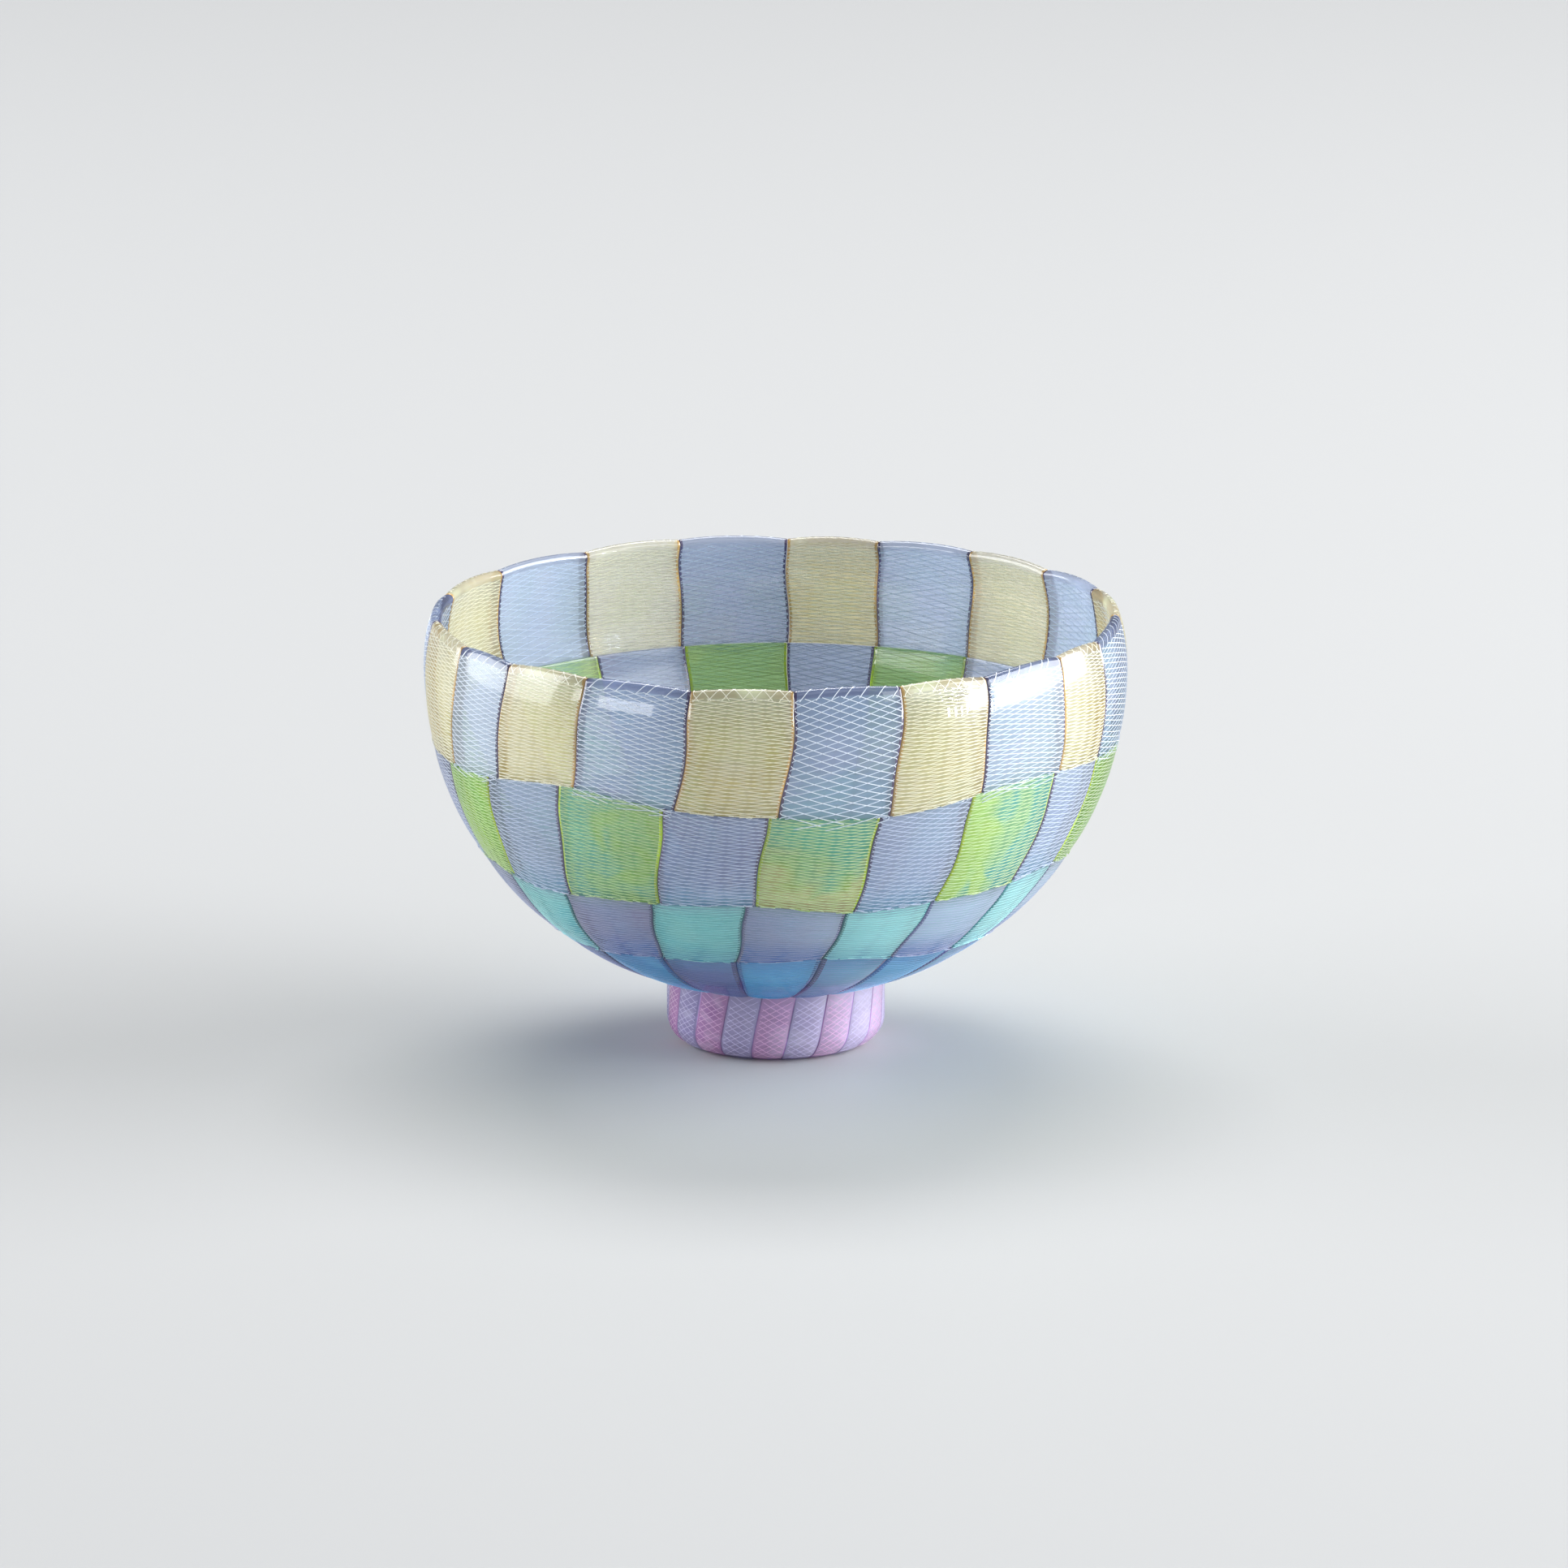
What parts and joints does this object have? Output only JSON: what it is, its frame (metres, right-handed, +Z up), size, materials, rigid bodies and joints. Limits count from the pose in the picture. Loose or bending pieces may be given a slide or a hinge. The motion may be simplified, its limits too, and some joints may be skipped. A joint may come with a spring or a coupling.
{
  "type": "art glass bowl",
  "caption": "Footed open bowl blown from a checkerboard of tinted lace-cane glass tiles, with a rounded lip and a low foot ring of upright staves.",
  "frame": {"origin": "on the table under the middle of the bowl, in the plane that the foot ring rests on", "axes": "+Z up along the bowl's axis, -Y towards the front, +X to the right seen from the front"},
  "size_m": [0.12, 0.12, 0.0758],
  "materials": {
    "lavender_glass": "gloss",
    "straw_glass": "gloss",
    "green_glass": "gloss",
    "aqua_glass": "gloss",
    "heather_glass": "gloss",
    "blue_glass": "gloss",
    "purple_glass": "gloss",
    "pink_glass": "gloss",
    "lilac_glass": "gloss"
  },
  "bodies": {
    "root": {"rim_lavender_01": "lavender_glass", "rim_straw_01": "straw_glass", "rim_lavender_02": "lavender_glass", "rim_straw_02": "straw_glass", "rim_lavender_03": "lavender_glass", "rim_straw_03": "straw_glass", "rim_lavender_04": "lavender_glass", "rim_straw_04": "straw_glass", "rim_lavender_05": "lavender_glass", "rim_straw_05": "straw_glass", "rim_lavender_06": "lavender_glass", "rim_straw_06": "straw_glass", "rim_lavender_07": "lavender_glass", "rim_straw_07": "straw_glass", "rim_lavender_08": "lavender_glass", "rim_straw_08": "straw_glass", "rim_lavender_09": "lavender_glass", "rim_straw_09": "straw_glass", "rim_lavender_10": "lavender_glass", "rim_straw_10": "straw_glass", "belly_green_01": "green_glass", "belly_lavender_01": "lavender_glass", "belly_green_02": "green_glass", "belly_lavender_02": "lavender_glass", "belly_green_03": "green_glass", "belly_lavender_03": "lavender_glass", "belly_green_04": "green_glass", "belly_lavender_04": "lavender_glass", "belly_green_05": "green_glass", "belly_lavender_05": "lavender_glass", "belly_green_06": "green_glass", "belly_lavender_06": "lavender_glass", "belly_green_07": "green_glass", "belly_lavender_07": "lavender_glass", "belly_green_08": "green_glass", "belly_lavender_08": "lavender_glass", "belly_green_09": "green_glass", "belly_lavender_09": "lavender_glass", "belly_green_10": "green_glass", "belly_lavender_10": "lavender_glass", "lower_heather_tiles": "heather_glass", "lower_aqua_tiles": "aqua_glass", "bottom_blue_tiles": "blue_glass", "bottom_purple_tiles": "purple_glass", "base_disc": "blue_glass", "foot_pink_staves": "pink_glass", "foot_lilac_staves": "lilac_glass"}
  },
  "joints": []
}
